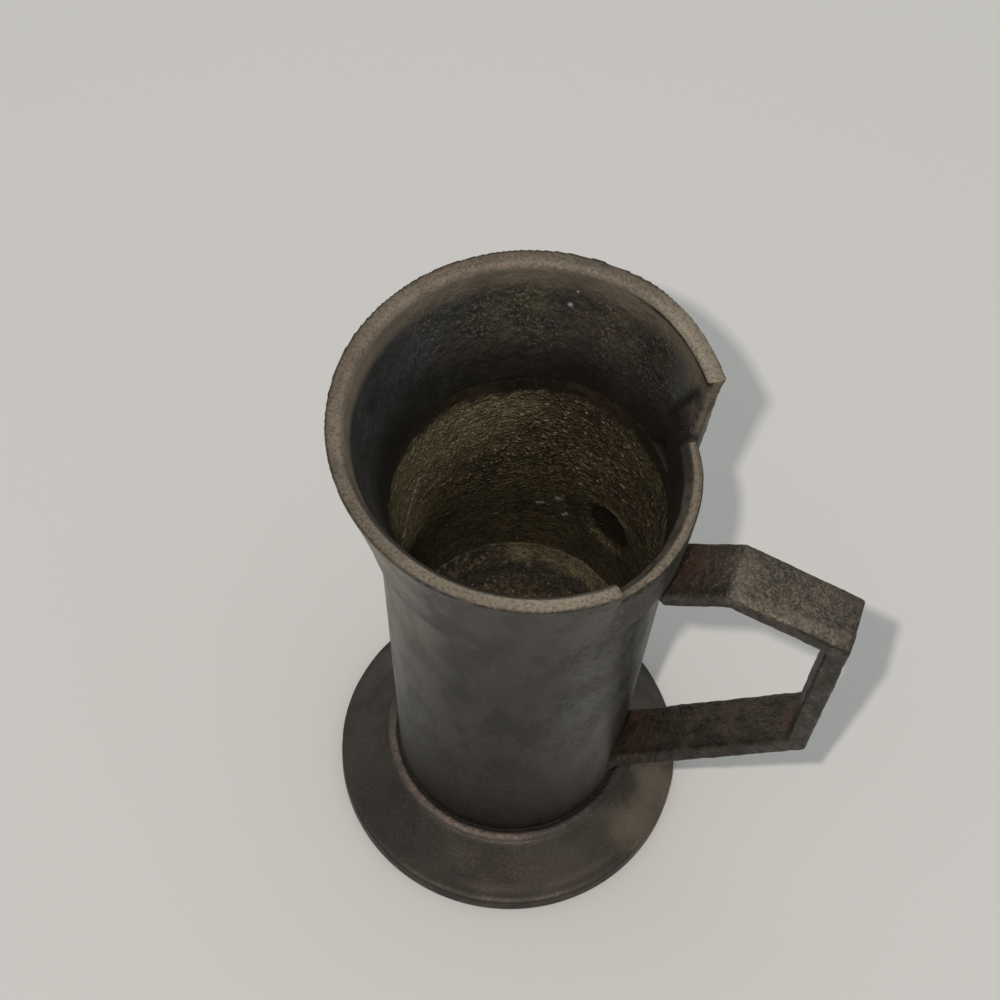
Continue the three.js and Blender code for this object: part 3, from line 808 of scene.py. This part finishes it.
class CUP_OT_body_tube(bpy.types.Operator):
    """Tapered tube, dented outside and rough inside"""

    bl_idname = "cup.body_tube"
    bl_label = "Body tube"

    def execute(self, context):
        sizes = context.scene.cup_sizes
        bottom, top = TUBE_LOW[2], TUBE_HIGH[2]
        floor, foot_top = FLOOR_LOW[2], FOOT_HIGH[2]
        taper = (sizes.tube_top_radius - sizes.tube_foot_radius) / (top - foot_top)

        def wall(height, inset=sizes.tube_wall):
            """Point of the wall at a height, on its inner face unless another inset is given."""
            return at(sizes.tube_foot_radius + taper * (height - foot_top) - inset, height)

        round_off = 0.35 * MM
        outside = fine([wall(bottom, 0), wall(top, 0) - at(0, round_off)], spacing=0.9 * MM)
        end = wall(top, round_off)
        inside = fine([wall(top), wall(floor)], spacing=0.38 * MM)
        below = fine([wall(floor), wall(bottom)], spacing=2 * MM)
        piece = turned("tube_wall", [*outside, end, *inside, *below[1:], outside[0]], steps=288)

        smooth_top = top - 3.4 * MM
        hollow = mark(piece, "hollow", lambda v: floor < v.co.z < smooth_top and faces_axis(v))
        skin = mark(piece, "skin", lambda v: v.co.z > foot_top and not faces_axis(v))
        roughen(piece, "sand cast lumps", 1.5, -0.22, hollow, pitted=True)
        roughen(piece, "sand cast waves", 4, 0.3, hollow)
        roughen(piece, "tube dents", 18, 0.12, skin)
        roughen(piece, "tube ripples", 5, 0.02, skin)
        pit = around_axis(PIT_RADIUS * MM, PIT_TURN, PIT_HEIGHT * MM)
        pull(piece, pit, outward(PIT_TURN) * PIT_DEPTH * MM, PIT_REACH * MM, "SPHERE")
        dress(piece, "body_tube", tube_finish(context.scene.cup_finish))
        return {"FINISHED"}


class CUP_OT_mouth_collar(bpy.types.Operator):
    """Flared collar with a worn rim, left low beside the handle and closed there by two webs"""

    bl_idname = "cup.mouth_collar"
    bl_label = "Mouth collar"

    def execute(self, context):
        sizes = context.scene.cup_sizes
        lip, rim = COLLAR_LOW[2], COLLAR_HIGH[2]
        ledge, socket = TUBE_HIGH[2] + CLEARANCE, sizes.tube_top_radius + CLEARANCE
        rim_inner = sizes.rim_radius - sizes.rim_width
        # Evening the faces takes about this much off the rim.
        spare_width, spare_height = 0.22 * MM, 0.12 * MM
        lip_edge = at(sizes.lip_radius, lip)
        rim_edge = at(sizes.rim_radius + spare_width, rim + spare_height)
        outside = curve(lip_edge, at(0.8, 6) * MM, at(-1.7, -6.6) * MM, rim_edge, count=40)
        bevel = at(rim_inner - 0.6 * MM, rim - 0.5 * MM)
        throat = at(sizes.tube_top_radius - sizes.tube_wall - 0.1 * MM, TUBE_HIGH[2] - 0.4 * MM)
        inside = curve(bevel, at(-1.2, -6) * MM, at(1.2, 5.5) * MM, throat, count=40)
        buried = throat + at(0.8, -0.7) * MM
        seat = [buried, at(socket, ledge), at(socket, lip), lip_edge]
        flare = turned("flare", [*outside, at(rim_inner, rim + spare_height), *inside, *seat], steps=240)
        cutter = self.low_sector(sizes)
        apply_modifier(flare, "BOOLEAN", object=cutter, operation="DIFFERENCE", solver="EXACT")
        bpy.data.objects.remove(cutter)

        low_inner, low_bevel = sizes.low_radius - sizes.low_width, 1.6 * MM
        low_outline = [
            lip_edge, at(sizes.low_radius, sizes.low_height), at(low_inner, sizes.low_height),
            at(sizes.throat_radius, sizes.low_height - low_bevel), throat, *seat,
        ]
        start, end = sizes.low_start + WEB_LEAD - WEB_OVERLAP, sizes.low_end - WEB_LEAD + WEB_OVERLAP
        low = turned("low_wall", low_outline, steps=80, start=start, sweep=end - start)
        webs = [self.end_web(sizes, sizes.low_start, -1), self.end_web(sizes, sizes.low_end, 1)]
        piece = flare
        pick(piece, low, *webs)
        bpy.ops.object.join()
        piece.name = "collar_wall"
        piece.data.name = "collar_wall"
        evened(piece, voxel=0.34, passes=2)

        # The outside runs smoothly over the step at the flare's near end.
        near_end = around_axis(sizes.low_radius, sizes.low_start, sizes.low_height - 2 * MM)
        step_reach = 8 * MM
        step = mark(piece, "step", lambda v: (v.co - near_end).length < step_reach and not faces_axis(v))
        apply_modifier(piece, "SMOOTH", factor=0.5, iterations=30, vertex_group=step)
        tip = around_axis(sizes.rim_radius, sizes.low_end, rim)
        pull(piece, tip, outward(sizes.low_end) * -TIP_BEND * MM, TIP_REACH * MM, "SMOOTH")
        roughen(piece, "collar waves", 12, 0.25)
        roughen(piece, "collar ripples", 3, 0.07)
        worn_top = rim - 3 * MM
        hollow = mark(piece, "hollow", lambda v: v.co.z < worn_top and faces_axis(v))
        roughen(piece, "collar pits", 1.8, -0.1, hollow, pitted=True)
        dress(piece, "mouth_collar", collar_finish(context.scene.cup_finish))
        return {"FINISHED"}

    def low_sector(self, sizes):
        """Wedge beside the handle, with sides that lean away from it on the way down."""
        start, end = outward(sizes.low_start), outward(sizes.low_end)
        opening = math.sin(sizes.low_end - sizes.low_start)
        # The wedge passes the collar above and below by this much, and reaches this many millimetres out.
        beyond = 2 * MM
        reach = 40
        corners = []
        for height in (COLLAR_LOW[2] - beyond, COLLAR_HIGH[2] + beyond):
            shift = math.tan(END_LEAN) * (COLLAR_HIGH[2] - height)
            middle = Vector((AXIS_X, 0, height))
            corners += [
                middle - (start + end) * shift / opening,
                middle + Vector((start.y, -start.x, 0)) * shift + start * reach * MM,
                middle + Vector((-end.y, end.x, 0)) * shift + end * reach * MM,
            ]
        return hull("low_sector", corners)

    def end_web(self, sizes, turn, side):
        """Three-cornered web from the rim down to the low wall, at one end of the flare."""
        rim, lip = COLLAR_HIGH[2], COLLAR_LOW[2]
        edge, back, foot = (turn + side * reach for reach in (-WEB_LEAD, WEB_BACK, WEB_LAG))
        rim_outer, lip_inner = sizes.rim_radius - 0.1 * MM, sizes.lip_radius - 0.6 * MM
        low_inner = sizes.low_radius - sizes.low_width
        corners = (
            (sizes.rim_radius - sizes.rim_width, turn, rim), (rim_outer, turn, rim), (rim_outer, back, rim),
            (low_inner, edge, sizes.low_height), (sizes.low_radius, edge, sizes.low_height),
            (low_inner - 1.2 * MM, foot, rim - WEB_DROP),
            (sizes.lip_radius + 1.4 * MM, foot, rim - WEB_DROP),
            (sizes.throat_radius - 0.8 * MM, edge, TUBE_HIGH[2] + CLEARANCE),
            (lip_inner, edge, lip), (sizes.lip_radius, edge, lip),
            (sizes.lip_radius, foot, lip), (lip_inner, foot, lip),
        )
        return hull("web", [around_axis(*corner) for corner in corners])


class CUP_OT_foot_skirt(bpy.types.Operator):
    """Hollow conical foot with an upright edge"""

    bl_idname = "cup.foot_skirt"
    bl_label = "Foot"

    def execute(self, context):
        sizes = context.scene.cup_sizes
        radius, top = FOOT_HIGH[1], FOOT_HIGH[2]
        bore = sizes.tube_foot_radius + CLEARANCE
        ring_width, round_off, chamfer = 2.6 * MM, 0.7 * MM, 0.3 * MM
        inner = radius - ring_width
        shoulder = sizes.foot_edge + round_off
        slope = (top - shoulder) / (radius - round_off - sizes.foot_neck)
        drop = sizes.foot_wall * math.hypot(1, slope)
        ceiling = top - drop + slope * (sizes.foot_neck - bore)
        edge, rounded_end = at(radius, sizes.foot_edge), at(radius - 0.9 * MM, shoulder)
        rounded = curve(edge, at(0, 0.5) * MM, at(0.4, -0.4) * MM, rounded_end, count=7)
        outline = [
            at(inner, 0), at(radius - chamfer, 0), at(radius, chamfer), *rounded,
            at(sizes.foot_neck + 0.3 * MM, top - 0.1 * MM), at(sizes.foot_neck - 0.2 * MM, top),
            at(bore, top), at(bore, ceiling), at(inner, ceiling - slope * (inner - bore)), at(inner, 0),
        ]
        piece = turned("foot_cone", fine(outline, spacing=0.7 * MM), steps=300)
        flat_edge = 0.8 * MM
        shown = mark(piece, "shown", lambda v: v.co.z > flat_edge and not faces_axis(v))
        roughen(piece, "foot waves", 9, 0.22, shown)
        roughen(piece, "foot ripples", 2.5, 0.08, shown)
        dress(piece, "foot_skirt", foot_finish(context.scene.cup_finish))
        return {"FINISHED"}


class CUP_OT_floor_disc(bpy.types.Operator):
    """Rough raised floor"""

    bl_idname = "cup.floor_disc"
    bl_label = "Floor"

    def execute(self, context):
        radius, bottom, top = FLOOR_HIGH[1], FLOOR_LOW[2], FLOOR_HIGH[2]
        outline = [at(0, bottom), at(radius, bottom), at(radius, top), at(0, top)]
        piece = turned("floor_plate", fine(outline, spacing=0.45 * MM), steps=160)
        middle, edge = (bottom + top) / 2, radius - 0.2 * MM
        shown = mark(
            piece, "shown", lambda v: v.co.z > middle and math.hypot(v.co.x - AXIS_X, v.co.y) < edge)
        roughen(piece, "floor lumps", 1.6, -0.3, shown, pitted=True)
        roughen(piece, "floor waves", 5, 0.4, shown)
        dress(piece, "floor_disc", floor_finish(context.scene.cup_finish))
        return {"FINISHED"}


class CUP_OT_handle_strap(bpy.types.Operator):
    """Flat bar bent at three corners, hammered and worn"""

    bl_idname = "cup.handle_strap"
    bl_label = "Handle"

    def execute(self, context):
        half = context.scene.cup_sizes.strap_thickness / 2
        above, below = self.beside(HANDLE_LINE, half), self.beside(HANDLE_LINE, -half)
        width = STRAP_HIGH[1] - STRAP_LOW[1]
        start = Vector((0, -width / 2, 0))
        piece = trace("strap_bar", [point + start for point in above + below[::-1] + above[:1]])
        bpy.ops.mesh.remove_doubles(threshold=MERGE)
        bpy.ops.mesh.edge_face_add()
        bpy.ops.mesh.extrude_region_move(TRANSFORM_OT_translate={"value": (0, width, 0)})
        bpy.ops.mesh.select_all(action="SELECT")
        bpy.ops.mesh.normals_make_consistent(inside=False)
        bpy.ops.mesh.bevel(offset=0.3 * MM, segments=2, affect="EDGES")
        close_mesh()
        evened(piece, voxel=0.3, passes=2)
        roughen(piece, "hammer marks", 6, 0.35)
        roughen(piece, "strap dents", 2, 0.14)
        roughen(piece, "strap pits", 1.3, -0.08, pitted=True)
        dress(piece, "handle_strap", handle_finish(context.scene.cup_finish))
        return {"FINISHED"}

    def beside(self, line, distance):
        """The middle line moved sideways, with mitred corners."""
        moved = []
        for i, corner in enumerate(line):
            arrive = (corner - line[i - 1] if i else line[1] - corner).normalized()
            leave = (line[i + 1] - corner if i + 1 < len(line) else corner - line[i - 1]).normalized()
            side = Vector((-arrive.z - leave.z, 0, arrive.x + leave.x)).normalized()
            moved.append(corner + side * distance / side.dot(Vector((-arrive.z, 0, arrive.x))))
        return moved


class CUP_OT_solder(bpy.types.Operator):
    """Runs of solder round the foot, the floor and both roots of the handle"""

    bl_idname = "cup.solder"
    bl_label = "Solder"

    def execute(self, context):
        sizes = context.scene.cup_sizes
        colours = context.scene.cup_finish
        self.foot_bead(sizes, colours)
        self.floor_fillet(sizes, colours)
        red = root_finish(colours)
        upper, lower = HANDLE_LINE[:2], HANDLE_LINE[:2:-1]
        self.root_lump(
            sizes, "upper_root_solder", "upper_handle_solder", upper, red, margin=-0.9 * MM, spread=0.5 * MM)
        self.root_lump(
            sizes, "lower_root_solder", "lower_handle_solder", lower, red, margin=0, spread=0.6 * MM)
        return {"FINISHED"}

    def foot_bead(self, sizes, colours):
        top = FOOT_HIGH[2]
        base = top - 0.5 * MM
        inner, outer = sizes.tube_foot_radius - 0.2 * MM, sizes.foot_neck + 0.3 * MM
        skirt_end, tube_end = at(outer, top - 0.3 * MM), at(inner + 0.4 * MM, top + 0.3 * MM)
        ridge = curve(skirt_end, at(-0.45, 0.65) * MM, at(0.7, 0.35) * MM, tube_end, count=12)
        outline = [at(inner, base), at(outer, base), *ridge, at(inner, top + 0.35 * MM), at(inner, base)]
        piece = turned("foot_bead", outline, steps=300)
        roughen(piece, "bead lumps", 3.5, 0.15)
        roughen(piece, "bead run", 14, 0.15)
        dress(piece, "foot_solder", bead_finish(colours))

    def floor_fillet(self, sizes, colours):
        low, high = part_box("floor_solder")
        sunk = 0.5 * MM
        outer = high[1] + sunk
        inner = outer - sizes.floor_fillet - sunk
        base = low[2] - 0.6 * MM
        wall_end, floor_end = at(outer - 0.4 * MM, high[2]), at(inner, low[2] - 0.35 * MM)
        hollow = curve(wall_end, at(-0.5, -1) * MM, at(1, 0.5) * MM, floor_end, count=14)
        outline = [at(inner, base), at(outer, base), at(outer, high[2]), *hollow, at(inner, base)]
        piece = turned("floor_fillet", outline, steps=220)
        roughen(piece, "fillet lumps", 2.2, 0.6)
        dress(piece, "floor_solder", fillet_finish(colours))

    def root_lump(self, sizes, name, node, ends, finish, margin, spread):
        """Lump of solder that a root of the strap stands in. Its spread is how far it swells at the foot."""
        root, following = ends
        along = (following - root).normalized()
        across = Vector((-along.z, 0, along.x))
        width, thickness = STRAP_HIGH[1] + margin, sizes.strap_thickness / 2
        # Rings and corners of the lump, how far it runs up the strap, how deep it sits and how round it is
        rings, steps, run_up, sunk, roundness = 3, 24, 2.2, 0.5 * MM, 0.4
        corners = []
        for ring in range(rings + 1):
            grown = spread * (1 - ring / rings) ** 2
            reach = root + along * (spread * run_up * ring / rings - sunk)
            for step in range(steps):
                cosine, sine = math.cos(FULL_TURN * step / steps), math.sin(FULL_TURN * step / steps)
                sideways = math.copysign(abs(cosine) ** roundness, cosine) * (width + grown)
                upwards = math.copysign(abs(sine) ** roundness, sine) * (thickness + grown)
                corners.append(reach + across * upwards + Vector((0, sideways, 0)))
        piece = hull(name, corners)
        evened(piece, voxel=0.25, passes=4)
        roughen(piece, name + " lumps", 1.8, 0.35)
        dress(piece, node, finish)


# Stage


class CUP_OT_stage(bpy.types.Operator):
    """Pale table, one soft lamp, even light from all round and the camera"""

    bl_idname = "cup.stage"
    bl_label = "Stage"

    def execute(self, context):
        stage = context.scene.cup_stage
        self.table(stage)
        self.light(context.scene, stage)
        self.camera(context.scene, stage)
        context.scene.view_settings.view_transform = "Standard"
        return {"FINISHED"}

    def table(self, stage):
        """A board with matt paint, which shows soft shadows and hardly a reflection."""
        bpy.ops.object.select_all(action="DESELECT")
        bpy.ops.mesh.primitive_plane_add(size=stage.table_width)
        table = bpy.context.object
        table.name = "table"
        paint = bpy.data.materials.new("Matt painted board, table")
        paint.use_nodes = True
        shader = paint.node_tree.nodes["Principled BSDF"]
        shader.inputs["Base Color"].default_value = stage.table
        shader.inputs["Roughness"].default_value = 0.8
        shader.inputs["Specular IOR Level"].default_value = 0.1
        table.data.materials.append(paint)

    def light(self, scene, stage):
        """Even light from all round, and a lamp that is as strong far off as close by."""
        world = bpy.data.worlds.new("Even studio light")
        world.use_nodes = True
        world.node_tree.nodes["Background"].inputs["Color"].default_value = stage.sky
        scene.world = world
        lamp = bpy.data.lights.new("soft_lamp", "AREA")
        lamp.shape = "DISK"
        lamp.size = stage.lamp_size
        lamp.energy = stage.lamp_strength
        lamp.color = stage.lamp[:3]
        lamp.use_nodes = True
        nodes = lamp.node_tree.nodes
        even = nodes.new("ShaderNodeLightFalloff")
        even.inputs["Strength"].default_value = 1.0
        lamp.node_tree.links.new(even.outputs["Constant"], nodes["Emission"].inputs["Strength"])
        holder = bpy.data.objects.new("soft_lamp", lamp)
        holder.location = stage.lamp_place
        towards = holder.location - Vector((AXIS_X, 0, COLLAR_HIGH[2] / 2))
        holder.rotation_euler = towards.to_track_quat("Z", "Y").to_euler()
        scene.collection.objects.link(holder)

    def camera(self, scene, stage):
        lens = bpy.data.cameras.new("photo_view")
        lens.lens = stage.lens
        lens.sensor_width = 36
        holder = bpy.data.objects.new("photo_view", lens)
        holder.location = stage.camera_place
        holder.rotation_euler = stage.camera_turn
        scene.collection.objects.link(holder)
        scene.camera = holder


class CUP_PT_pieces(bpy.types.Panel):
    """Lists the cup's pieces, sizes and colours"""

    bl_label = "Measuring cup"
    bl_idname = "CUP_PT_pieces"
    bl_space_type = "VIEW_3D"
    bl_region_type = "UI"
    bl_category = "Measuring cup"

    def draw(self, context):
        for operator in OPERATORS:
            self.layout.operator(operator.bl_idname)
        for group in (context.scene.cup_sizes, context.scene.cup_finish, context.scene.cup_stage):
            box = self.layout.box()
            for name in group.__annotations__:
                box.prop(group, name)


OPERATORS = (
    CUP_OT_body_tube, CUP_OT_mouth_collar, CUP_OT_foot_skirt, CUP_OT_floor_disc, CUP_OT_handle_strap,
    CUP_OT_solder, CUP_OT_stage,
)
GROUPS = {"cup_sizes": CupSizes, "cup_finish": CupFinish, "cup_stage": CupStage}


def register():
    for made in (*GROUPS.values(), *OPERATORS, CUP_PT_pieces):
        bpy.utils.register_class(made)
    for name, group in GROUPS.items():
        setattr(bpy.types.Scene, name, PointerProperty(type=group))


def unregister():
    for name in GROUPS:
        delattr(bpy.types.Scene, name)
    for made in (CUP_PT_pieces, *reversed(OPERATORS), *GROUPS.values()):
        bpy.utils.unregister_class(made)


def main():
    register()
    bpy.ops.cup.stage()
    bpy.ops.cup.body_tube()
    bpy.ops.cup.mouth_collar()
    bpy.ops.cup.foot_skirt()
    bpy.ops.cup.floor_disc()
    bpy.ops.cup.handle_strap()
    bpy.ops.cup.solder()


if __name__ == "__main__":
    main()
